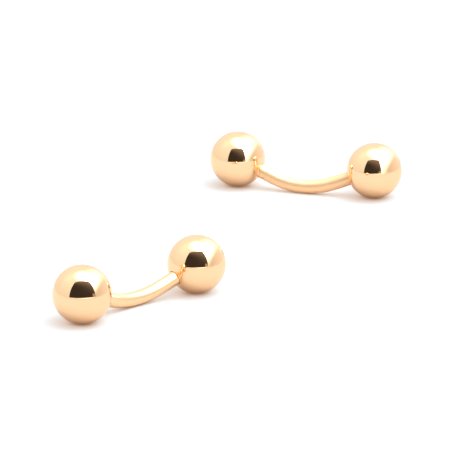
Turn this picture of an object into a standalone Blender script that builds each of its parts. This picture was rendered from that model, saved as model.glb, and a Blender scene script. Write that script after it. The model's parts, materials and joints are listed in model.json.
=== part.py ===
"""A pair of gold ball cufflinks, each a bent round post with a hollow ball at both ends.

Metres, +Z up. The pair lies on the plane z = 0 and the origin is the middle of its box.
Each cufflink is built round its own empty: +X runs along it to the ball that screws off,
and the post bows down towards -Z. Each ball is built round an empty at its centre, whose
+Z points out of the cufflink along the straight end of the post.
"""
import math

import bmesh
import bpy
from mathutils import Matrix, Vector

MM = 0.001

# Driving dimensions: the ball's shells
BALL_DIAMETER = 8.0 * MM
BALL_WALL = 0.45 * MM
HOLE_CHAMFER = 0.05 * MM

# Driving dimensions: the bent post
POST_DIAMETER = 2.0 * MM
CENTRE_DISTANCE = 20.6 * MM
END_TILT = math.radians(21.7)
STRAIGHT_END = 2.85 * MM

# Driving dimensions: the stud, the spigot and the bushes that hold them
THREAD_DIAMETER = 1.6 * MM
THREAD_PITCH = 0.35 * MM
THREAD_TURNS = 7
RELIEF_LENGTH = 0.15 * MM
RELIEF_DEPTH = 0.03 * MM
SPIGOT_DIAMETER = 1.2 * MM
SPIGOT_LENGTH = 2.4 * MM
JOIN_DEPTH = 0.35 * MM
BUSH_WALL = 0.6 * MM
BUSH_CHAMFER = 0.1 * MM

# Driving dimensions: how the pair lies, seen from above
FRONT_YAW = math.radians(42.6)
BACK_YAW = math.radians(-17.5)
PAIR_STEP_X = 23.1 * MM
PAIR_STEP_Y = 56.6 * MM

# Clearances
SOLDER_GAP = 0.02 * MM
HOLE_CLEARANCE = 0.04 * MM
SPIGOT_CLEARANCE = 0.03 * MM
THREAD_CLEARANCE = 0.04 * MM
SEAT_GAP = 0.03 * MM
TIP_GAP = 0.2 * MM
FLOOR_GAP = 0.02 * MM

# How finely the round shapes are divided
BALL_SIDES = 32
OUTER_STEPS = 8
INNER_STEPS = 4
POST_SIDES = 16
BEND_STEPS = 12
BUSH_SIDES = 24
THREAD_SIDES = 16
MERGE_DISTANCE = 0.0005 * MM
SHARP_ANGLE = math.radians(30.0)

# Depth of a metric thread, and the length where it runs out, as shares of its pitch
THREAD_DEPTH_SHARE = 0.6134
RUN_OUT_SHARE = 0.25

# Whole turns that a thread cutter reaches past each end of its cut
SPARE_TURNS = 2

# Sizes that follow from the driving dimensions
BALL_RADIUS = BALL_DIAMETER / 2
CAVITY_RADIUS = BALL_RADIUS - BALL_WALL
POST_RADIUS = POST_DIAMETER / 2
HOLE_RADIUS = POST_RADIUS + HOLE_CLEARANCE
THREAD_RADIUS = THREAD_DIAMETER / 2
THREAD_ROOT_RADIUS = THREAD_RADIUS - THREAD_DEPTH_SHARE * THREAD_PITCH
THREAD_LENGTH = THREAD_TURNS * THREAD_PITCH
STUD_LENGTH = RELIEF_LENGTH + THREAD_LENGTH
SPIGOT_RADIUS = SPIGOT_DIAMETER / 2
THREADED_BUSH_RADIUS = THREAD_RADIUS + THREAD_CLEARANCE + BUSH_WALL
PLAIN_BUSH_RADIUS = max(SPIGOT_RADIUS + SPIGOT_CLEARANCE + BUSH_WALL, HOLE_RADIUS + BUSH_CHAMFER)

GOLD = (1.0, 0.70, 0.42, 1.0)
BUSH_BRASS = (0.86, 0.66, 0.33, 1.0)


def bush_face(bush_radius):
    """Distance from the ball's centre to a bush's outer face, which meets the cavity's wall."""
    return math.sqrt(CAVITY_RADIUS ** 2 - bush_radius ** 2) - SOLDER_GAP


def shoulder(bush_radius):
    """Distance from the ball's centre to the post's shoulder, which seats on the bush."""
    return bush_face(bush_radius) + SEAT_GAP


SCREW_SHOULDER = shoulder(THREADED_BUSH_RADIUS)
FIXED_SHOULDER = shoulder(PLAIN_BUSH_RADIUS)

# The bend joins two straight ends that both aim at the balls' centres
HALF_SPAN = CENTRE_DISTANCE / 2
BEND_START = SCREW_SHOULDER + STRAIGHT_END
BEND_RADIUS = (HALF_SPAN / math.cos(END_TILT) - BEND_START) / math.tan(END_TILT)
SAG = HALF_SPAN * math.tan(END_TILT) - BEND_RADIUS * (1 / math.cos(END_TILT) - 1)

# A cufflink leans until its bow touches down, or hangs straight where the bow is too shallow
LEAN = math.acos(min(1.0, (BALL_RADIUS - POST_RADIUS - FLOOR_GAP) / SAG))


def clear_scene():
    for thing in list(bpy.data.objects):
        bpy.data.objects.remove(thing)


def collection(name):
    group = bpy.data.collections.new(name)
    bpy.context.scene.collection.children.link(group)
    return group


def metal(name, colour, roughness):
    material = bpy.data.materials.new(name)
    material.use_nodes = True
    shader = material.node_tree.nodes["Principled BSDF"]
    shader.inputs["Base Color"].default_value = colour
    shader.inputs["Metallic"].default_value = 1.0
    shader.inputs["Roughness"].default_value = roughness
    return material


def empty(name, group, parent, matrix):
    """A guide for placing things: it isn't a piece."""
    guide = bpy.data.objects.new(name, None)
    guide.empty_display_size = BALL_RADIUS
    group.objects.link(guide)
    guide.parent = parent
    guide.matrix_local = matrix
    return guide


def new_object(name, mesh, group):
    thing = bpy.data.objects.new(name, mesh)
    group.objects.link(thing)
    return thing


def applied(thing):
    """Replaces an object's curve or modifiers by the plain closed mesh that they make."""
    graph = bpy.context.evaluated_depsgraph_get()
    mesh = bpy.data.meshes.new_from_object(thing.evaluated_get(graph))
    name = thing.name
    groups = list(thing.users_collection)
    matrix = thing.matrix_world.copy()
    bpy.data.objects.remove(thing)
    work = bmesh.new()
    work.from_mesh(mesh)
    bmesh.ops.remove_doubles(work, verts=work.verts, dist=MERGE_DISTANCE)
    work.to_mesh(mesh)
    work.free()
    plain = bpy.data.objects.new(name, mesh)
    plain.matrix_world = matrix
    for group in groups:
        group.objects.link(plain)
    return plain


def arc(radius, start, end, steps):
    """Points (x, z) on a circle round the origin, with angles measured from +Z."""
    points = []
    for step in range(steps + 1):
        angle = start + (end - start) * step / steps
        points.append((radius * math.sin(angle), radius * math.cos(angle)))
    return points


def turned(name, profile, sides, group, closed=False):
    """Turns an outline of (x, z) points round Z. It runs down its outer side."""
    mesh = bpy.data.meshes.new(name)
    edges = [(i, i + 1) for i in range(len(profile) - 1)]
    if closed:
        edges.append((len(profile) - 1, 0))
    mesh.from_pydata([(x, 0.0, z) for x, z in profile], edges, [])
    thing = new_object(name, mesh, group)
    screw = thing.modifiers.new("turn", "SCREW")
    screw.steps = sides
    screw.render_steps = sides
    screw.use_merge_vertices = True
    screw.merge_threshold = MERGE_DISTANCE
    return applied(thing)


def threaded_rod(name, extra_radius, length, group):
    """A right-hand screw thread on +Z, which reaches past both ends of the length and is closed."""
    root = THREAD_ROOT_RADIUS + extra_radius
    crest = THREAD_RADIUS + extra_radius
    start = -SPARE_TURNS * THREAD_PITCH
    outline = [(root, start + THREAD_PITCH), (crest, start + THREAD_PITCH / 2), (root, start)]
    mesh = bpy.data.meshes.new(name)
    mesh.from_pydata([(x, 0.0, z) for x, z in outline], [(0, 1), (1, 2)], [])
    thing = new_object(name, mesh, group)
    screw = thing.modifiers.new("thread", "SCREW")
    screw.steps = THREAD_SIDES
    screw.render_steps = THREAD_SIDES
    screw.screw_offset = THREAD_PITCH
    screw.iterations = math.ceil(length / THREAD_PITCH) + 2 * SPARE_TURNS
    screw.use_merge_vertices = True
    screw.merge_threshold = MERGE_DISTANCE
    thing = applied(thing)
    work = bmesh.new()
    work.from_mesh(thing.data)
    rims = [edge for edge in work.edges if edge.is_boundary]
    bmesh.ops.holes_fill(work, edges=rims, sides=0)
    bmesh.ops.recalc_face_normals(work, faces=work.faces)
    work.to_mesh(thing.data)
    work.free()
    return thing


def combined(thing, tool, operation):
    """Applies one exact Boolean and keeps the tool as a hidden cutter or guide."""
    step = thing.modifiers.new(operation.lower(), "BOOLEAN")
    step.object = tool
    step.operation = operation
    step.solver = "EXACT"
    tool.hide_render = True
    tool.display_type = "WIRE"
    return applied(thing)


def placed(thing, parent, material):
    """Puts a piece in its parent's frame and shades its round faces smooth."""
    thing.parent = parent
    thing.matrix_parent_inverse = Matrix.Identity(4)
    thing.data.materials.clear()
    thing.data.materials.append(material)
    thing.data.shade_smooth()
    thing.data.set_sharp_from_angle(angle=SHARP_ANGLE)
    return thing


def outer_shell(name, group):
    """The plain half of a ball, away from the post, with its rim just short of the seam."""
    rim = math.asin(SOLDER_GAP / 2 / BALL_RADIUS)
    inner_rim = math.asin(SOLDER_GAP / 2 / CAVITY_RADIUS)
    outside = arc(BALL_RADIUS, 0.0, math.pi / 2 - rim, OUTER_STEPS)
    inside = arc(CAVITY_RADIUS, math.pi / 2 - inner_rim, 0.0, INNER_STEPS)
    return turned(name, outside + inside, BALL_SIDES, group)


def inner_shell(name, group):
    """The half of a ball that the post enters, with a round hole at its pole."""
    rim = math.asin(SOLDER_GAP / 2 / BALL_RADIUS)
    inner_rim = math.asin(SOLDER_GAP / 2 / CAVITY_RADIUS)
    hole_edge = math.pi - math.asin((HOLE_RADIUS + HOLE_CHAMFER) / BALL_RADIUS)
    inner_edge = math.pi - math.asin(HOLE_RADIUS / CAVITY_RADIUS)
    outside = arc(BALL_RADIUS, math.pi / 2 + rim, hole_edge, OUTER_STEPS)
    chamfer = [(HOLE_RADIUS, outside[-1][1] + HOLE_CHAMFER)]
    inside = arc(CAVITY_RADIUS, inner_edge, math.pi / 2 + inner_rim, INNER_STEPS)
    return turned(name, outside + chamfer + inside, BALL_SIDES, group, closed=True)


def bush_outline(radius, length, mouth_radius):
    """A solid bush blank: its face towards the post has a dished mouth."""
    face = -bush_face(radius)
    dish = mouth_radius + BUSH_CHAMFER
    return [
        (0.0, face + length),
        (radius - BUSH_CHAMFER, face + length),
        (radius, face + length - BUSH_CHAMFER),
        (radius, face),
        (dish, face),
        (mouth_radius, face + BUSH_CHAMFER),
        (0.0, face + BUSH_CHAMFER),
    ]


def plain_bush(name, group):
    """The soldered bush of the fixed ball, bored for the post's plain spigot."""
    length = SPIGOT_LENGTH + TIP_GAP
    bore = SPIGOT_RADIUS + SPIGOT_CLEARANCE
    outline = bush_outline(PLAIN_BUSH_RADIUS, length, bore)
    face_end = outline[0][1]
    tube = [(bore, face_end)] + outline[1:-1]
    return turned(name, tube, BUSH_SIDES, group, closed=True)


def threaded_bush(name, group, cutters):
    """The soldered bush of the screw-off ball, with the thread cut right through it."""
    length = STUD_LENGTH + TIP_GAP
    mouth = THREAD_RADIUS + THREAD_CLEARANCE
    outline = bush_outline(THREADED_BUSH_RADIUS, length, mouth)
    bush = turned(name, outline, BUSH_SIDES, group)
    tap = threaded_rod(name + "_tap", THREAD_CLEARANCE, length, cutters)
    tap.matrix_world = stud_frame()
    return combined(bush, tap, "DIFFERENCE")


def stud_frame():
    """Stands the thread at the post's shoulder, in the frame of the screw-off ball."""
    return Matrix.Translation((0.0, 0.0, -SCREW_SHOULDER))


def threaded_stud(name, cutters):
    """The post's stud: a relief at the shoulder, the thread and a pointed lead at its tip."""
    relief = THREAD_ROOT_RADIUS - RELIEF_DEPTH
    clear = THREAD_RADIUS + THREAD_CLEARANCE
    lead = THREAD_RADIUS - relief
    outline = [
        (0.0, STUD_LENGTH),
        (relief, STUD_LENGTH),
        (clear, STUD_LENGTH - lead),
        (clear, RELIEF_LENGTH + RUN_OUT_SHARE * THREAD_PITCH),
        (relief, RELIEF_LENGTH),
        (relief, -JOIN_DEPTH),
        (0.0, -JOIN_DEPTH),
    ]
    blank = turned(name, outline, THREAD_SIDES, cutters)
    rod = threaded_rod(name + "_die", 0.0, STUD_LENGTH, cutters)
    return combined(rod, blank, "INTERSECT")


def post_end(side, shoulder_distance):
    """Where the post's centreline ends, short of the ball's centre on that side (-1 or 1)."""
    inward = Vector((-side * math.cos(END_TILT), 0.0, -math.sin(END_TILT)))
    return Vector((side * HALF_SPAN, 0.0, 0.0)) + shoulder_distance * inward


def post_centreline():
    """Points in the cufflink's frame, from the fixed ball's shoulder to the other one."""
    bend = []
    for step in range(BEND_STEPS + 1):
        angle = END_TILT * (2 * step / BEND_STEPS - 1)
        rise = BEND_RADIUS * (1 - math.cos(angle))
        bend.append(Vector((BEND_RADIUS * math.sin(angle), 0.0, rise - SAG)))
    return [post_end(-1, FIXED_SHOULDER)] + bend + [post_end(1, SCREW_SHOULDER)]


def curved_post(name, group, cutters, ball_frames):
    """The bent round rod with its plain spigot at one end and its threaded stud at the other."""
    line = post_centreline()
    curve = bpy.data.curves.new(name, "CURVE")
    curve.dimensions = "3D"
    curve.bevel_depth = POST_RADIUS
    curve.bevel_resolution = POST_SIDES // 2 - 2
    curve.render_resolution_u = 0
    curve.use_fill_caps = True
    spline = curve.splines.new("POLY")
    spline.points.add(len(line) - 1)
    for point, place in zip(spline.points, line):
        point.co = (*place, 1.0)
    post = applied(new_object(name, curve, group))

    spigot_outline = [
        (0.0, SPIGOT_LENGTH),
        (SPIGOT_RADIUS - BUSH_CHAMFER, SPIGOT_LENGTH),
        (SPIGOT_RADIUS, SPIGOT_LENGTH - BUSH_CHAMFER),
        (SPIGOT_RADIUS, -JOIN_DEPTH),
        (0.0, -JOIN_DEPTH),
    ]
    spigot = turned(name + "_spigot", spigot_outline, BUSH_SIDES, cutters)
    spigot.matrix_world = ball_frames["fixed"] @ Matrix.Translation((0.0, 0.0, -FIXED_SHOULDER))
    post = combined(post, spigot, "UNION")
    stud = threaded_stud(name + "_stud", cutters)
    stud.matrix_world = ball_frames["screw"] @ stud_frame()
    return combined(post, stud, "UNION")


def cufflink(prefix, place, yaw, lean, group, cutters, metals):
    """One cufflink: its post, the ball soldered on it and the ball that screws off."""
    stand = Matrix.Translation((place.x, place.y, BALL_RADIUS))
    turn = Matrix.Rotation(yaw, 4, "Z") @ Matrix.Rotation(lean, 4, "X")
    link = empty(prefix + "_cufflink", group, None, stand @ turn)
    tilt = math.pi / 2 - END_TILT
    frames = {}
    for end, side in (("fixed", -1), ("screw", 1)):
        centre = Matrix.Translation((side * HALF_SPAN, 0.0, 0.0))
        frames[end] = centre @ Matrix.Rotation(side * tilt, 4, "Y")

    post = curved_post(prefix + "_curved_post", group, cutters, frames)
    placed(post, link, metals["post"])
    for end in ("fixed", "screw"):
        ball = f"{prefix}_{end}_ball"
        centre = empty(ball, group, link, frames[end])
        placed(outer_shell(ball + "_outer_shell", group), centre, metals["ball"])
        placed(inner_shell(ball + "_inner_shell", group), centre, metals["ball"])
        if end == "fixed":
            bush = plain_bush(ball + "_bush", group)
        else:
            bush = threaded_bush(ball + "_threaded_bush", group, cutters)
        placed(bush, centre, metals["bush"])


def half_box(yaw):
    """Half the width and depth of one cufflink's box: its two balls set it."""
    return Vector((
        abs(math.cos(yaw)) * HALF_SPAN + BALL_RADIUS,
        abs(math.sin(yaw)) * HALF_SPAN + BALL_RADIUS,
    ))


def pair_places():
    """Middles of the two cufflinks, seen from above, with the pair's box centred on the origin."""
    front = Vector((0.0, 0.0))
    back = Vector((PAIR_STEP_X, PAIR_STEP_Y))
    front_half = half_box(FRONT_YAW)
    back_half = half_box(BACK_YAW)
    low = [min(front[i] - front_half[i], back[i] - back_half[i]) for i in range(2)]
    high = [max(front[i] + front_half[i], back[i] + back_half[i]) for i in range(2)]
    middle = Vector(((low[0] + high[0]) / 2, (low[1] + high[1]) / 2))
    return front - middle, back - middle


def main():
    clear_scene()
    group = collection("ball_cufflinks")
    cutters = collection("cutters")
    metals = {
        "post": metal("post_gold", GOLD, 0.12),
        "ball": metal("ball_gold", GOLD, 0.08),
        "bush": metal("bush_brass", BUSH_BRASS, 0.3),
    }
    front, back = pair_places()
    cufflink("front", front, FRONT_YAW, LEAN, group, cutters, metals)
    cufflink("back", back, BACK_YAW, -LEAN, group, cutters, metals)


main()
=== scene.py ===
"""The looks of a pair of polished gold ball cufflinks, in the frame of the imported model.

Metres, +Z up. Each piece is built in the frame of what it belongs to: a post in its
cufflink's frame, whose +X runs to the ball that screws off, and what makes up a ball in
that ball's frame, whose +Z points out of the cufflink along the post's straight end.
"""
import json
import math

import bpy
from mathutils import Matrix, Vector


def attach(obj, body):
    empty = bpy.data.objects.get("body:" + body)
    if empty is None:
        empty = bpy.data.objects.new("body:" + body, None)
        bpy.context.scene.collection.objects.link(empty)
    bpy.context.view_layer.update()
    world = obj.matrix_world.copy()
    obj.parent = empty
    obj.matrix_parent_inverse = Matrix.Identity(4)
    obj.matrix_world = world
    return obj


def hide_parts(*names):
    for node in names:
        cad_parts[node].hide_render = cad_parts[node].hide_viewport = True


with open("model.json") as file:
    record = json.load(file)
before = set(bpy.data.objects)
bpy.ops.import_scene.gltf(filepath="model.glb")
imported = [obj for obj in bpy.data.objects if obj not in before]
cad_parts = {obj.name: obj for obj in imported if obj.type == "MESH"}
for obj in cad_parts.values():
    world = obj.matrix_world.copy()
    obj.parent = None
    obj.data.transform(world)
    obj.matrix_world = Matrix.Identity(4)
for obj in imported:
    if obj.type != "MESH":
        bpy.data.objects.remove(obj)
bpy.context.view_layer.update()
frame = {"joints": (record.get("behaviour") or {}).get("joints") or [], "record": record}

MM = 0.001
MICRON = 0.000001

# The balls and the post
BALL_RADIUS = 4.0 * MM
BALL_WALL = 0.45 * MM
POST_RADIUS = 1.0 * MM
CENTRE_DISTANCE = 20.6 * MM
END_TILT = math.radians(21.7)
STRAIGHT_END = 2.85 * MM
SHOULDER_ROUNDING = 0.05 * MM

# Where the two halves of a ball meet, and the hole that the post goes through
SEAM_GAP = 0.002 * MM
HOLE_CLEARANCE = 0.025 * MM
HOLE_ROUNDING = 0.12 * MM
SOLDER_FILLET = 0.10 * MM
SOLDER_SKIN = 0.001 * MM

# The stud's M1.6 thread, of the standard depth for its pitch. Each flat is half its width,
# as a share of the pitch, and the phase is the turn at which the crest meets the shoulder
THREAD_RADIUS = 0.8 * MM
THREAD_PITCH = 0.35 * MM
THREAD_DEPTH = 0.6134 * THREAD_PITCH
THREAD_TURNS = 7
THREAD_CLEARANCE = 0.04 * MM
CREST_FLAT = 1 / 16
ROOT_FLAT = 1 / 8
CREST_PHASE = 0.5
RELIEF_LENGTH = 0.15 * MM
RELIEF_DEPTH = 0.03 * MM
RUN_OUT = THREAD_PITCH / 4
STUD_LENGTH = RELIEF_LENGTH + THREAD_TURNS * THREAD_PITCH

# The spigot and the bushes
SPIGOT_RADIUS = 0.6 * MM
SPIGOT_LENGTH = 2.4 * MM
SPIGOT_CLEARANCE = 0.03 * MM
BUSH_WALL = 0.6 * MM
BUSH_CHAMFER = 0.1 * MM
TIP_GAP = 0.2 * MM
SOLDER_GAP = 0.02 * MM
SEAT_GAP = 0.03 * MM

# Sizes that follow from these
CAVITY_RADIUS = BALL_RADIUS - BALL_WALL
THREADED_BUSH_RADIUS = THREAD_RADIUS + THREAD_CLEARANCE + BUSH_WALL
PLAIN_BUSH_RADIUS = max(
    SPIGOT_RADIUS + SPIGOT_CLEARANCE + BUSH_WALL,
    POST_RADIUS + HOLE_CLEARANCE + BUSH_CHAMFER,
)

# The middle of each cufflink is over the place of its mount
MOUNT = "_post_in_buttonholes"

# How finely the pieces are divided
BALL_SIDES = 128
BALL_STEPS = 64
POST_SIDES = 96
BEND_STEPS = 96
STRAIGHT_STEPS = 4
BUSH_SIDES = 96
ROUNDING_STEPS = 6
RINGS_PER_PITCH = 20
SHARP_ANGLE = math.radians(30.0)

# The attribute that keeps where each point is on its own piece, for the finishes
OWN_PLACE = "own_place"

# The gold: its colours, and the size and detail of its drift, its faint waves and the
# hairlines from polishing. Heights are in microns
GOLD = (1.0, 0.70, 0.42)
GOLD_RICH = (1.0, 0.68, 0.39)
DRIFT = (3.0 * MM, 2.0)
DRIFT_ROUGHNESS = 0.02
WAVES = (1.6 * MM, 1.0)
WAVE_HEIGHT = 1.5
HAIRLINES = (0.05 * MM, 3.0)
HAIRLINE_STRETCH = (1.0, 1.0, 0.03)
HAIRLINE_EDGE = (0.60, 0.72)
HAIRLINE_ROUGHNESS = 0.08
BALL_ROUGHNESS = 0.03
BALL_HAIRLINE_HEIGHT = 0.01
POST_ROUGHNESS = 0.06
POST_HAIRLINE_HEIGHT = 0.02
SATIN_SHARE = {"front": 0.15, "back": 0.85}
SATIN_ROUGHNESS = 0.6

# The bushes' brass: its colours, the size and detail of its tarnish, and the rings that a
# lathe tool leaves. The tarnish's height is a share of the rings'
BRASS = (0.86, 0.66, 0.33)
BRASS_DULL = (0.62, 0.44, 0.20)
BRASS_ROUGHNESS = 0.24
TARNISH = (0.8 * MM, 4.0)
TARNISH_EDGE = (0.45, 0.75)
TARNISH_ROUGHNESS = 0.12
TARNISH_HEIGHT = 0.5
TOOL_RING_SIZE = 0.6 * MM
TOOL_RING_WANDER = 0.4
TOOL_RING_ROUGHNESS = 0.06
TOOL_RING_HEIGHT = 4 * MICRON

# The camera, on the photograph's sight line
CAMERA_TARGET = Vector((-1.105, -0.910, 3.92)) * MM
CAMERA_DISTANCE = 731.9 * MM
CAMERA_ELEVATION = math.radians(16.403)
CAMERA_LENS = 419.74
CAMERA_CLIP = (0.01, 20.0)
SENSOR_WIDTH = 36.0

# The light tent's radiance: its walls, ceiling and lit side, its key light and its fill.
# The paper gets only a share of the key light, which keeps the shadows soft
WHITE = (1.0, 1.0, 1.0)
WALL_LOW = 0.95
WALL_RISE = 0.30
CEILING = 2.6
CEILING_AZIMUTH = math.radians(20.0)
CEILING_ELEVATION = math.radians(86.0)
CEILING_EDGE = (math.sin(math.radians(60.0)), math.sin(math.radians(80.0)))
SIDE_LIGHT_AZIMUTH = math.radians(105.0)
SIDE_LIGHT_EDGE = (math.cos(math.radians(98.0)), math.cos(math.radians(48.0)))
SIDE_LIGHT_FOOT = (-0.02, 0.02)
KEY_AZIMUTH = math.radians(115.0)
KEY_ELEVATION = math.radians(68.0)
KEY_SPREAD = 1 - math.cos(math.radians(15.0))
KEY_LEVEL = 24.0
KEY_PAPER_SHARE = 0.2
FILL_AZIMUTH = math.radians(-75.0)
FILL_ELEVATION = math.radians(52.0)
FILL_SPREAD = 1 - math.cos(math.radians(18.0))
FILL_LEVEL = 0.14

# The unlit patch low in the lit side: a soft arch
ARCH_AZIMUTH = math.radians(82.0)
ARCH_HALF_WIDTH = math.sin(math.radians(60.0))
ARCH_HEIGHT = math.sin(math.radians(33.0))
ARCH_EDGE = (0.5, 1.5)
ARCH_SIDE = (0.0, 0.1)
ARCH_LEVEL = 0.98
ARCH_FADE = 0.28
ARCH_COLOUR = (1.0, 0.93, 0.92)

# The dark opening that the camera looks through: each end's place and height, and its light
OPENING_LOW = 10.0 * MM
OPENING_LEFT = (-245.0 * MM, -235.0 * MM, 480.0 * MM)
OPENING_RIGHT = (93.0 * MM, -113.0 * MM, 245.0 * MM)
OPENING_LEAN = 3.0 * MM
OPENING_DARK = (0.042, 0.034, 0.031)
OPENING_DIM = (0.25, 0.21, 0.19)
OPENING_LIT_TOWARDS = (1.0, 0.0, 1.0)
OPENING_LIT_REACH = 280.0 * MM
FLAP_SHARE = 0.085
FLAP_HEIGHT = 36.0 * MM
FLAP_FRONT = 1.0 * MM
FLAP_COLOUR = (0.45, 0.38, 0.31)

# How open a place on the paper is: 0 where metal covers it, 1 away from all metal
# This mask lays the painted shade under the metal and dims the painted glow there
OPENNESS_REACH = 12.0 * MM

# The paper floor as the metal reflects it: near and far, with painted shade and a painted
# glow
FLOOR_HALF = 3000.0 * MM
FLOOR_NEAR = (0.580, 0.595, 0.620)
# Painted shade: the paper darker far off
FLOOR_FAR_PAINTED_SHADE = (0.470, 0.486, 0.502)
FLOOR_FAR_SHADE_FADE = (30.0 * MM, 250.0 * MM)
# Painted shade: the paper darker close under the balls and posts
FLOOR_PAINTED_SHADE_UNDER = (0.410, 0.410, 0.420)
FLOOR_PAINTED_SHADE_UNDER_FADE = (0.0, 0.5)
# Painted glow: a warm emission over the whole paper, for the light that the gold throws
# back
PAINTED_GLOW_REFLECTED = (1.0, 0.45, 0.20)
PAINTED_GLOW_REFLECTED_SHARE = 0.13

# The floor as the camera sees it, overexposed, with painted shade and a painted glow
SEEN_OPEN = (0.490, 0.760, 0.900)
# Painted shade: darker and warmer close under the metal
SEEN_PAINTED_SHADE_UNDER = (0.49, 0.47, 0.46)
SEEN_PAINTED_SHADE_UNDER_FADE = (0.0, 0.32)
# Painted glow: a warm emission in the shadows for the light that the gold throws back,
# dimmer close under the metal
PAINTED_GLOW_SEEN = (1.0, 0.59, 0.40)
PAINTED_GLOW_SEEN_LEVEL = 1.35
PAINTED_GLOW_SEEN_SHARE = 0.4
PAINTED_GLOW_SEEN_FADE = (-0.17, 0.34)


def bush_face(bush_radius):
    """Distance from a ball's centre to its bush's outer face, just inside its wall."""
    return math.sqrt(CAVITY_RADIUS ** 2 - bush_radius ** 2) - SOLDER_GAP


SCREW_SHOULDER = bush_face(THREADED_BUSH_RADIUS) + SEAT_GAP
FIXED_SHOULDER = bush_face(PLAIN_BUSH_RADIUS) + SEAT_GAP

# The bend joins two straight ends that both aim at the balls' centres
HALF_SPAN = CENTRE_DISTANCE / 2
BEND_START = SCREW_SHOULDER + STRAIGHT_END
BEND_RADIUS = (HALF_SPAN / math.cos(END_TILT) - BEND_START) / math.tan(END_TILT)
HALF_BEND = BEND_RADIUS * END_TILT
SAG = HALF_SPAN * math.tan(END_TILT) - BEND_RADIUS * (1 / math.cos(END_TILT) - 1)


class Wire:
    """A socket in a node tree. Sums and products of wires add their Math nodes."""

    def __init__(self, tree, socket):
        self.tree = tree
        self.socket = socket

    def __getitem__(self, name):
        return Wire(self.tree, self.socket.node.outputs[name])

    def __add__(self, other):
        return self.tree.math("ADD", self, other)

    def __radd__(self, other):
        return self.tree.math("ADD", other, self)

    def __sub__(self, other):
        return self.tree.math("SUBTRACT", self, other)

    def __rsub__(self, other):
        return self.tree.math("SUBTRACT", other, self)

    def __mul__(self, other):
        return self.tree.math("MULTIPLY", self, other)

    def __rmul__(self, other):
        return self.tree.math("MULTIPLY", other, self)

    def __truediv__(self, other):
        return self.tree.math("DIVIDE", self, other)

    def __pow__(self, other):
        return self.tree.math("POWER", self, other)


class Tree:
    """Builds the nodes of one material or world."""

    def __init__(self, owner):
        owner.use_nodes = True
        self.tree = owner.node_tree
        self.tree.nodes.clear()

    def node(self, kind, settings=None, inputs=(), output=0):
        """Adds a node: its settings first, then the values or wires of its sockets."""
        made = self.tree.nodes.new(kind)
        for name, value in (settings or {}).items():
            setattr(made, name, value)
        pairs = inputs.items() if isinstance(inputs, dict) else enumerate(inputs)
        for key, value in pairs:
            if isinstance(value, Wire):
                self.tree.links.new(value.socket, made.inputs[key])
            else:
                made.inputs[key].default_value = value
        return Wire(self, made.outputs[output]) if len(made.outputs) else None

    def math(self, operation, *operands):
        return self.node("ShaderNodeMath", {"operation": operation}, operands)

    def own_place(self):
        """Where a point is on its own piece, before that was bent and set in its place."""
        settings = {"attribute_name": OWN_PLACE}
        return self.node("ShaderNodeAttribute", settings, output="Vector")

    def noise(self, place, size, detail):
        inputs = {"Vector": place, "Scale": 1 / size, "Detail": detail}
        return self.node("ShaderNodeTexNoise", None, inputs)

    def dot(self, vector, direction):
        settings = {"operation": "DOT_PRODUCT"}
        return self.node("ShaderNodeVectorMath", settings, (vector, direction), "Value")

    def lobe(self, direction, centre, spread):
        """A soft round light: 1 at its centre, falling off smoothly round it."""
        return self.math("EXPONENT", (self.dot(direction, centre) - 1.0) / spread)

    def step(self, value, start, end):
        """Rises smoothly from 0 at start to 1 at end."""
        settings = {"interpolation_type": "SMOOTHSTEP"}
        inputs = {"Value": value, "From Min": start, "From Max": end}
        return self.node("ShaderNodeMapRange", settings, inputs)

    def mix(self, share, first, second):
        """Mixes two values. Sockets go by number, as the node's types share names."""
        inputs = {0: share, 2: first, 3: second}
        return self.node("ShaderNodeMix", {"data_type": "FLOAT"}, inputs)

    def tint(self, share, first, second):
        """Mixes two colours."""
        inputs = {0: share, 6: first, 7: second}
        return self.node("ShaderNodeMix", {"data_type": "RGBA"}, inputs, 2)


def rgba(colour):
    return (*colour, 1.0)


def pointing(azimuth, elevation=0.0):
    """The unit vector at an azimuth from +Y towards +X, and an elevation."""
    flat = math.cos(elevation)
    return (math.sin(azimuth) * flat, math.cos(azimuth) * flat, math.sin(elevation))


# Shapes


def arc(radius, start, end, steps):
    """Points (radius, height) on a circle round the origin. Angles are from +Z."""
    points = []
    for step in range(steps + 1):
        angle = start + (end - start) * step / steps
        points.append((radius * math.sin(angle), radius * math.cos(angle)))
    return points


def rounding(centre, radius, start, end):
    """The points of a small arc round another centre."""
    points = arc(radius, start, end, ROUNDING_STEPS)
    return [(centre[0] + x, centre[1] + z) for x, z in points]


def turned(rings, sides, closed=False):
    """Vertices and faces of a piece turned round +Z, down its outer side.

    A ring is (radius, height). The radius may be a function of the height and the angle.
    """
    vertices = []
    starts = []
    for radius, height in rings:
        starts.append(len(vertices))
        if radius == 0.0:
            vertices.append(Vector((0.0, 0.0, height)))
            continue
        for side in range(sides):
            angle = math.tau * side / sides
            reach = radius(height, angle) if callable(radius) else radius
            x, y = reach * math.cos(angle), reach * math.sin(angle)
            vertices.append(Vector((x, y, height)))
    starts.append(len(vertices))
    count = len(rings)
    faces = []
    for upper in range(count if closed else count - 1):
        lower = (upper + 1) % count
        a, b = starts[upper], starts[lower]
        upper_is_point = starts[upper + 1] - a == 1
        lower_is_point = starts[lower + 1] - b == 1
        for side in range(sides):
            after = (side + 1) % sides
            if upper_is_point:
                faces.append((a, b + side, b + after))
            elif lower_is_point:
                faces.append((a + side, b, a + after))
            else:
                faces.append((a + side, b + side, b + after, a + after))
    return vertices, faces


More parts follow.
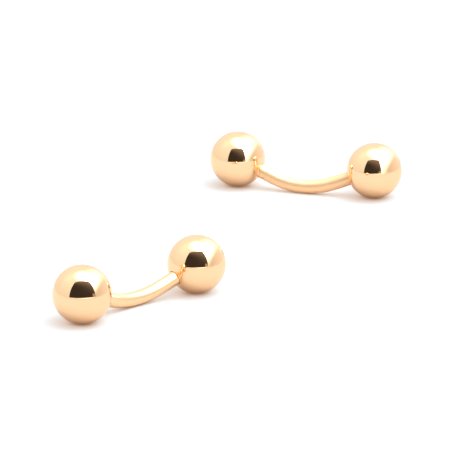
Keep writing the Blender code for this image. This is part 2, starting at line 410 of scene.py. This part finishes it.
def new_piece(name, shape, place, material, bend=None):
    """A smooth-shaded piece whose edges over SHARP_ANGLE stay crisp, set in its place.

    Each point keeps its place on the unbent piece, which the finishes read.
    """
    points, faces = shape
    mesh = bpy.data.meshes.new(name)
    mesh.from_pydata([bend(point) for point in points] if bend else points, [], faces)
    own_place = mesh.attributes.new(OWN_PLACE, "FLOAT_VECTOR", "POINT")
    own_place.data.foreach_set("vector", [value for point in points for value in point])
    mesh.transform(place)
    mesh.update()
    mesh.shade_smooth()
    mesh.set_sharp_from_angle(angle=SHARP_ANGLE)
    mesh.materials.append(material)
    piece = bpy.data.objects.new(name, mesh)
    bpy.context.scene.collection.objects.link(piece)
    return piece


def shade_as_ball(mesh, centre):
    """Shades the outside as one true ball, so that the two halves look like one."""
    normals = [corner.vector.copy() for corner in mesh.corner_normals]
    for face in mesh.polygons:
        corners = [mesh.vertices[index].co - centre for index in face.vertices]
        if all(abs(corner.length - BALL_RADIUS) < SEAM_GAP for corner in corners):
            for loop, corner in zip(face.loop_indices, corners):
                normals[loop] = corner.normalized()
    mesh.normals_split_custom_set(normals)


def outer_half():
    """The plain half of a ball, away from the post."""
    rim = math.asin(SEAM_GAP / 2 / BALL_RADIUS)
    inner_rim = math.asin(SEAM_GAP / 2 / CAVITY_RADIUS)
    outside = arc(BALL_RADIUS, 0.0, math.pi / 2 - rim, BALL_STEPS)
    inside = arc(CAVITY_RADIUS, math.pi / 2 - inner_rim, 0.0, BALL_STEPS // 2)
    outside[0] = (0.0, BALL_RADIUS)
    inside[-1] = (0.0, CAVITY_RADIUS)
    return turned(outside + inside, BALL_SIDES)


def pierced_half(hole_edge):
    """The half of a ball that the post enters. Its hole's edge is an outline of its own."""
    rim = math.asin(SEAM_GAP / 2 / BALL_RADIUS)
    inner_rim = math.asin(SEAM_GAP / 2 / CAVITY_RADIUS)
    mouth = math.pi - math.asin(hole_edge[0][0] / BALL_RADIUS)
    bore = hole_edge[-1][0]
    outside = arc(BALL_RADIUS, math.pi / 2 + rim, mouth, BALL_STEPS)[:-1]
    inner_mouth = math.pi - math.asin(bore / CAVITY_RADIUS)
    inside = arc(CAVITY_RADIUS, inner_mouth, math.pi / 2 + inner_rim, BALL_STEPS // 2)
    return turned(outside + hole_edge + inside, BALL_SIDES, closed=True)


def rounded_hole_edge():
    """The screw-off ball's hole: a small rounding, then a bore with running clearance."""
    bore = POST_RADIUS + HOLE_CLEARANCE
    mouth = bore + HOLE_ROUNDING
    top = -math.sqrt(BALL_RADIUS ** 2 - mouth ** 2)
    slope = math.asin(mouth / BALL_RADIUS)
    inwards = HOLE_ROUNDING * math.sin(slope)
    upwards = HOLE_ROUNDING * math.cos(slope)
    centre = (mouth - inwards, top + upwards)
    edge = rounding(centre, HOLE_ROUNDING, math.pi - slope, math.pi * 1.5)
    return [point for point in edge if point[0] >= bore] + [(bore, centre[1])]


def soldered_hole_edge():
    """The fixed ball's hole: a fillet of solder runs from the ball up to the post."""
    bore = POST_RADIUS + SOLDER_SKIN
    mouth = bore + SOLDER_FILLET
    top = -math.sqrt(BALL_RADIUS ** 2 - mouth ** 2)
    edge = []
    for step in range(ROUNDING_STEPS + 1):
        angle = math.pi / 2 * step / ROUNDING_STEPS
        climb = SOLDER_FILLET * (1 - math.cos(angle))
        edge.append((mouth - SOLDER_FILLET * math.sin(angle), top - climb))
    return edge


def thread(height, angle):
    """Radius of the stud's right-hand thread at a height above the shoulder."""
    turns = height / THREAD_PITCH - angle / math.tau - CREST_PHASE
    from_crest = abs(turns - round(turns))
    slope = (from_crest - CREST_FLAT) / (0.5 - ROOT_FLAT - CREST_FLAT)
    return THREAD_RADIUS - THREAD_DEPTH * min(1.0, max(0.0, slope))


def stud(height, angle):
    """Radius of the whole stud: its thread, relief at the shoulder and pointed lead."""
    relief = THREAD_RADIUS - THREAD_DEPTH - RELIEF_DEPTH
    run_out = relief + max(0.0, height - RELIEF_LENGTH) * (THREAD_RADIUS - relief) / RUN_OUT
    lead = relief + (STUD_LENGTH - height)
    return min(thread(height, angle), run_out, lead)


def bent(point):
    """Where a point of the straight rod, which lies along +Z, goes on the bent post."""
    angle = max(-END_TILT, min(END_TILT, point.z / BEND_RADIUS))
    along = Vector((math.cos(angle), 0.0, math.sin(angle)))
    below = Vector((math.sin(angle), 0.0, -math.cos(angle)))
    rise = BEND_RADIUS * (1 - math.cos(angle)) - SAG
    middle = Vector((BEND_RADIUS * math.sin(angle), 0.0, rise))
    past_bend = point.z - angle * BEND_RADIUS
    return middle + past_bend * along + point.x * below + Vector((0.0, point.y, 0.0))


def rod_shape():
    """The rod before it is bent, with its shoulders, its spigot and its threaded stud."""
    screw_end = HALF_BEND + STRAIGHT_END
    fixed_end = -HALF_BEND - (BEND_START - FIXED_SHOULDER)

    rings = [(0.0, screw_end + STUD_LENGTH)]
    count = math.ceil(STUD_LENGTH / THREAD_PITCH * RINGS_PER_PITCH)
    for step in range(count + 1):
        height = STUD_LENGTH * (1 - step / count)
        rings.append((lambda z, angle: stud(z - screw_end, angle), screw_end + height))
    core = POST_RADIUS - SHOULDER_ROUNDING
    shoulder = (core, screw_end - SHOULDER_ROUNDING)
    rings += rounding(shoulder, SHOULDER_ROUNDING, 0.0, math.pi / 2)
    for step in range(1, STRAIGHT_STEPS):
        rings.append((POST_RADIUS, screw_end - STRAIGHT_END * step / STRAIGHT_STEPS))
    for step in range(BEND_STEPS + 1):
        rings.append((POST_RADIUS, HALF_BEND * (1 - 2 * step / BEND_STEPS)))
    for step in range(1, STRAIGHT_STEPS):
        down = (fixed_end + HALF_BEND) * step / STRAIGHT_STEPS
        rings.append((POST_RADIUS, down - HALF_BEND))
    shoulder = (core, fixed_end + SHOULDER_ROUNDING)
    rings += rounding(shoulder, SHOULDER_ROUNDING, math.pi / 2, math.pi)
    rings += [
        (SPIGOT_RADIUS, fixed_end),
        (SPIGOT_RADIUS, fixed_end - SPIGOT_LENGTH + BUSH_CHAMFER),
        (SPIGOT_RADIUS - BUSH_CHAMFER, fixed_end - SPIGOT_LENGTH),
        (0.0, fixed_end - SPIGOT_LENGTH),
    ]
    return turned(rings, POST_SIDES)


def threaded_bush_shape():
    """The bush soldered in the screw-off ball, with the thread cut right through it."""
    face = -bush_face(THREADED_BUSH_RADIUS)
    length = STUD_LENGTH + TIP_GAP
    mouth = THREAD_RADIUS + THREAD_CLEARANCE

    def bore(z, angle):
        from_end = min(z - face, face + length - z)
        countersink = mouth + BUSH_CHAMFER - from_end
        return max(thread(z + SCREW_SHOULDER, angle) + THREAD_CLEARANCE, countersink)

    rings = [
        (THREADED_BUSH_RADIUS - BUSH_CHAMFER, face + length),
        (THREADED_BUSH_RADIUS, face + length - BUSH_CHAMFER),
        (THREADED_BUSH_RADIUS, face),
    ]
    count = math.ceil(length / THREAD_PITCH * RINGS_PER_PITCH)
    for step in range(count + 1):
        rings.append((bore, face + length * step / count))
    return turned(rings, BUSH_SIDES, closed=True)


def plain_bush_shape():
    """The bush soldered in the fixed ball, bored for the post's spigot."""
    face = -bush_face(PLAIN_BUSH_RADIUS)
    length = SPIGOT_LENGTH + TIP_GAP
    bore = SPIGOT_RADIUS + SPIGOT_CLEARANCE
    rings = [
        (bore, face + length),
        (PLAIN_BUSH_RADIUS - BUSH_CHAMFER, face + length),
        (PLAIN_BUSH_RADIUS, face + length - BUSH_CHAMFER),
        (PLAIN_BUSH_RADIUS, face),
        (bore + BUSH_CHAMFER, face),
        (bore, face + BUSH_CHAMFER),
    ]
    return turned(rings, BUSH_SIDES, closed=True)


# Finishes


def gold_surface(tree, place, roughness, hairline_height):
    """Gold with faint waves, fine hairlines along +Z and a slight drift of colour."""
    drift = tree.noise(place, *DRIFT)
    waves = tree.noise(place, *WAVES)
    drawn_out = {"Vector": place, "Scale": HAIRLINE_STRETCH}
    along = tree.node("ShaderNodeMapping", None, drawn_out)
    hairlines = tree.step(tree.noise(along, *HAIRLINES), *HAIRLINE_EDGE)
    height = WAVE_HEIGHT * waves + hairline_height * hairlines
    bump = {"Strength": 1.0, "Distance": MICRON, "Height": height}
    return tree.node("ShaderNodeBsdfPrincipled", None, {
        "Base Color": tree.tint(drift, rgba(GOLD), rgba(GOLD_RICH)),
        "Metallic": 1.0,
        "Roughness": roughness + DRIFT_ROUGHNESS * drift + HAIRLINE_ROUGHNESS * hairlines,
        "Normal": tree.node("ShaderNodeBump", None, bump),
    })


def polished_gold(name):
    """The balls' mirror polish."""
    material = bpy.data.materials.new(name)
    tree = Tree(material)
    shader = gold_surface(tree, tree.own_place(), BALL_ROUGHNESS, BALL_HAIRLINE_HEIGHT)
    tree.node("ShaderNodeOutputMaterial", None, {"Surface": shader})
    return material


def drawn_gold(name, satin_share):
    """A post's gold: drawn wire that is polished over a fine satin."""
    material = bpy.data.materials.new(name)
    tree = Tree(material)
    place = tree.own_place()
    polish = gold_surface(tree, place, POST_ROUGHNESS, POST_HAIRLINE_HEIGHT)
    satin = gold_surface(tree, place, SATIN_ROUGHNESS, POST_HAIRLINE_HEIGHT)
    shader = tree.node("ShaderNodeMixShader", None, {0: satin_share, 1: polish, 2: satin})
    tree.node("ShaderNodeOutputMaterial", None, {"Surface": shader})
    return material


def turned_brass(name):
    """Unpolished brass, slightly tarnished over its turned rings."""
    material = bpy.data.materials.new(name)
    tree = Tree(material)
    place = tree.own_place()
    settings = {"wave_type": "RINGS", "rings_direction": "Z"}
    inputs = {"Vector": place, "Scale": 1 / TOOL_RING_SIZE, "Distortion": TOOL_RING_WANDER}
    rings = tree.node("ShaderNodeTexWave", settings, inputs)
    tarnish = tree.noise(place, *TARNISH)
    height = rings + TARNISH_HEIGHT * tarnish
    bump = {"Strength": 1.0, "Distance": TOOL_RING_HEIGHT, "Height": height}
    dull = tree.step(tarnish, *TARNISH_EDGE)
    roughness = BRASS_ROUGHNESS + TARNISH_ROUGHNESS * tarnish + TOOL_RING_ROUGHNESS * rings
    shader = tree.node("ShaderNodeBsdfPrincipled", None, {
        "Base Color": tree.tint(dull, rgba(BRASS), rgba(BRASS_DULL)),
        "Metallic": 1.0,
        "Roughness": roughness,
        "Normal": tree.node("ShaderNodeBump", None, bump),
    })
    tree.node("ShaderNodeOutputMaterial", None, {"Surface": shader})
    return material


# The object


def named(rows, name):
    return next(row for row in rows if row["name"] == name)


def cufflink_frame(prefix):
    """The cufflink's own frame: its middle, its +X to the screw-off ball, and its lean."""
    mount = named(frame["record"]["mounts"], prefix + MOUNT)
    turn = named(frame["joints"], prefix + "_ball_turn")
    middle = Vector((mount["pos_m"][0], mount["pos_m"][1], BALL_RADIUS))
    along = Vector(mount["axis"]).normalized()
    out = Vector(turn["axis"])
    rise = (out - out.dot(along) * along).normalized()
    axes = Matrix((along, rise.cross(along), rise)).transposed()
    return Matrix.Translation(middle) @ axes.to_4x4()


def finished(name, shape, place, material, body, bend=None):
    """A finished piece that stands for a CAD node and moves with its body."""
    piece = new_piece(name + "_finished", shape, place, material, bend)
    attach(piece, body)
    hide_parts(name)
    return piece


def cufflink(prefix, metals):
    """All seven pieces of one cufflink, each over the CAD node that it stands for."""
    place = cufflink_frame(prefix)
    centres = {}
    for end, side in (("fixed", -1), ("screw", 1)):
        centre = Matrix.Translation((side * HALF_SPAN, 0.0, 0.0))
        outwards = Matrix.Rotation(side * (math.pi / 2 - END_TILT), 4, "Y")
        centres[end] = place @ centre @ outwards
    root = "posts_and_fixed_balls"
    carriage = prefix + "_screw_carriage"
    turning = prefix + "_screw_ball"
    post = prefix + "_curved_post"
    finished(post, rod_shape(), place, metals["post"], root, bent)

    fixed = prefix + "_fixed_ball"
    screw = prefix + "_screw_ball"
    soldered = pierced_half(soldered_hole_edge())
    rounded = pierced_half(rounded_hole_edge())
    halves = (
        (fixed + "_outer_shell", outer_half(), centres["fixed"], root),
        (fixed + "_inner_shell", soldered, centres["fixed"], root),
        (screw + "_outer_shell", outer_half(), centres["screw"], turning),
        (screw + "_inner_shell", rounded, centres["screw"], carriage),
    )
    for name, shape, centre, body in halves:
        half = finished(name, shape, centre, metals["ball"], body)
        shade_as_ball(half.data, centre.translation)

    bushes = (
        (fixed + "_bush", plain_bush_shape(), centres["fixed"], root),
        (screw + "_threaded_bush", threaded_bush_shape(), centres["screw"], turning),
    )
    for name, shape, centre, body in bushes:
        finished(name, shape, centre, metals["bush"], body)


# The stage


def sheet(name, corners, material):
    """A flat four-cornered stage piece."""
    mesh = bpy.data.meshes.new(name)
    mesh.from_pydata(corners, [], [(0, 1, 2, 3)])
    mesh.materials.append(material)
    thing = bpy.data.objects.new(name, mesh)
    bpy.context.scene.collection.objects.link(thing)
    return thing


def floor():
    """White paper, with painted shade under the metal and far off, and a painted warm glow.

    The camera sees it overexposed. The metal sees it about as bright as the tent's walls.
    """
    material = bpy.data.materials.new("floor_paper_painted_shade_and_glow")
    tree = Tree(material)
    is_camera = tree.node("ShaderNodeLightPath", output="Is Camera Ray")
    is_glossy = tree.node("ShaderNodeLightPath", output="Is Glossy Ray")
    place = tree.node("ShaderNodeNewGeometry", output="Position")
    distance = tree.node("ShaderNodeVectorMath", {"operation": "LENGTH"}, (place,), "Value")
    # Painted shade: the paper that the metal reflects grows darker far off
    far = tree.step(distance, *FLOOR_FAR_SHADE_FADE)
    reflected = tree.tint(far, rgba(FLOOR_NEAR), rgba(FLOOR_FAR_PAINTED_SHADE))
    reach = {"Distance": OPENNESS_REACH}
    # Ambient occlusion: the mask for the painted shade and for dimming the painted glow
    # under the metal
    openness = tree.node("ShaderNodeAmbientOcclusion", None, reach, "AO")
    # Painted shade: the paper that the metal reflects is darker close under the balls and
    # posts
    out_of_painted_shade = tree.step(openness, *FLOOR_PAINTED_SHADE_UNDER_FADE)
    reflected = tree.tint(out_of_painted_shade, rgba(FLOOR_PAINTED_SHADE_UNDER), reflected)
    # Painted shade: the paper that the camera sees is darker and warmer close under the
    # metal
    out_of_seen_painted_shade = tree.step(openness, *SEEN_PAINTED_SHADE_UNDER_FADE)
    seen = tree.tint(out_of_seen_painted_shade, rgba(SEEN_PAINTED_SHADE_UNDER), rgba(SEEN_OPEN))
    colour = tree.tint(is_camera, reflected, seen)
    paper = tree.node("ShaderNodeBsdfDiffuse", None, {"Color": colour})
    # Painted glow: a warm emission standing in for the light that the gold throws back into
    # its own shadows
    painted_glow_colour = tree.tint(is_camera, rgba(PAINTED_GLOW_REFLECTED), rgba(PAINTED_GLOW_SEEN))
    painted_glow_seen_level = PAINTED_GLOW_SEEN_LEVEL * tree.step(openness, *PAINTED_GLOW_SEEN_FADE)
    level = tree.mix(is_camera, 1.0, painted_glow_seen_level)
    glow = tree.node("ShaderNodeEmission", None, {"Color": painted_glow_colour, "Strength": level})
    share = PAINTED_GLOW_SEEN_SHARE * is_camera + PAINTED_GLOW_REFLECTED_SHARE * is_glossy
    surface = tree.node("ShaderNodeMixShader", None, {0: share, 1: paper, 2: glow})
    tree.node("ShaderNodeOutputMaterial", None, {"Surface": surface})
    signs = ((-1, -1), (1, -1), (1, 1), (-1, 1))
    sheet("floor", [(x * FLOOR_HALF, y * FLOOR_HALF, 0.0) for x, y in signs], material)


def reflected_sheet(name, corners, material):
    """A sheet that only the metal's reflections see."""
    thing = sheet(name, corners, material)
    thing.visible_camera = False
    thing.visible_diffuse = False
    thing.visible_shadow = False


def tent_opening():
    """The dark opening, dimly lit at its top right, and the flap at its right foot."""
    dark = bpy.data.materials.new("tent_opening_dark")
    tree = Tree(dark)
    place = tree.node("ShaderNodeNewGeometry", output="Position")
    lit = tree.step(tree.dot(place, OPENING_LIT_TOWARDS), 0.0, OPENING_LIT_REACH)
    colour = tree.tint(lit * lit, rgba(OPENING_DARK), rgba(OPENING_DIM))
    glow = tree.node("ShaderNodeEmission", None, {"Color": colour, "Strength": 1.0})
    tree.node("ShaderNodeOutputMaterial", None, {"Surface": glow})

    left_x, left_y, left_top = OPENING_LEFT
    right_x, right_y, right_top = OPENING_RIGHT
    along = Vector((right_x - left_x, right_y - left_y)).normalized()
    corners = [
        (left_x, left_y, OPENING_LOW),
        (right_x, right_y, OPENING_LOW),
        (right_x + OPENING_LEAN * along.x, right_y + OPENING_LEAN * along.y, right_top),
        (left_x, left_y, left_top),
    ]
    reflected_sheet("tent_opening", corners, dark)

    pale = bpy.data.materials.new("tent_flap")
    tree = Tree(pale)
    colour = rgba(FLAP_COLOUR)
    glow = tree.node("ShaderNodeEmission", None, {"Color": colour, "Strength": 1.0})
    tree.node("ShaderNodeOutputMaterial", None, {"Surface": glow})
    inner_x = right_x + FLAP_SHARE * (left_x - right_x)
    inner_y = right_y + FLAP_SHARE * (left_y - right_y) + FLAP_FRONT
    outer_y = right_y + FLAP_FRONT
    corners = [
        (inner_x, inner_y, OPENING_LOW),
        (right_x, outer_y, OPENING_LOW),
        (right_x, outer_y, FLAP_HEIGHT),
        (inner_x, inner_y, FLAP_HEIGHT),
    ]
    reflected_sheet("tent_flap", corners, pale)


def tent():
    """The white tent as the world: walls, ceiling, lit side, arch, key light and fill."""
    world = bpy.data.worlds.new("light_tent")
    bpy.context.scene.world = world
    tree = Tree(world)
    direction = tree.node("ShaderNodeTexCoord", output="Generated")
    height = tree.node("ShaderNodeSeparateXYZ", None, (direction,))["Z"]
    flat = tree.math("SQRT", 1.0 - height * height)

    wall = WALL_LOW + WALL_RISE * height
    sideways = tree.dot(direction, pointing(SIDE_LIGHT_AZIMUTH)) / flat
    side = tree.step(sideways, *SIDE_LIGHT_EDGE)
    across = tree.dot(direction, pointing(ARCH_AZIMUTH + math.pi / 2))
    towards = tree.dot(direction, pointing(ARCH_AZIMUTH))
    reach = (across / ARCH_HALF_WIDTH) ** 2.0 + (height / ARCH_HEIGHT) ** 2.0
    arch = (1.0 - tree.step(reach, *ARCH_EDGE)) * tree.step(towards, *ARCH_SIDE)
    above_floor = tree.step(height, *SIDE_LIGHT_FOOT)
    lit_wall = tree.mix(side * above_floor, wall, CEILING)
    shaded = ARCH_LEVEL - ARCH_FADE * across
    walls = tree.mix(arch, lit_wall, shaded)
    upwards = tree.dot(direction, pointing(CEILING_AZIMUTH, CEILING_ELEVATION))
    roof = tree.step(upwards, *CEILING_EDGE)
    base = tree.mix(roof, walls, CEILING)
    key = tree.lobe(direction, pointing(KEY_AZIMUTH, KEY_ELEVATION), KEY_SPREAD)
    fill = tree.lobe(direction, pointing(FILL_AZIMUTH, FILL_ELEVATION), FILL_SPREAD)
    is_glossy = tree.node("ShaderNodeLightPath", output="Is Glossy Ray")
    key_share = tree.mix(is_glossy, KEY_PAPER_SHARE, 1.0)
    level = base + KEY_LEVEL * key * key_share + FILL_LEVEL * fill

    is_camera = tree.node("ShaderNodeLightPath", output="Is Camera Ray")
    strength = tree.mix(is_camera, level, 1.0)
    warm = arch * (1.0 - roof) * (1.0 - is_camera)
    colour = tree.tint(warm, rgba(WHITE), rgba(ARCH_COLOUR))
    light = tree.node("ShaderNodeBackground", None, {"Color": colour, "Strength": strength})
    tree.node("ShaderNodeOutputWorld", None, {"Surface": light})


def camera():
    data = bpy.data.cameras.new("camera")
    data.sensor_width = SENSOR_WIDTH
    data.lens = CAMERA_LENS
    data.clip_start, data.clip_end = CAMERA_CLIP
    eye = bpy.data.objects.new("camera", data)
    bpy.context.scene.collection.objects.link(eye)
    back = Vector((0.0, -math.cos(CAMERA_ELEVATION), math.sin(CAMERA_ELEVATION)))
    eye.location = CAMERA_TARGET + CAMERA_DISTANCE * back
    eye.rotation_euler = (math.pi / 2 - CAMERA_ELEVATION, 0.0, 0.0)
    bpy.context.scene.camera = eye


camera()
floor()
tent_opening()
tent()
metals = {"ball": polished_gold("ball_gold"), "bush": turned_brass("bush_brass")}
for which, satin_share in SATIN_SHARE.items():
    metals["post"] = drawn_gold(which + "_post_gold", satin_share)
    cufflink(which, metals)

bpy.context.scene.view_settings.view_transform = "Standard"
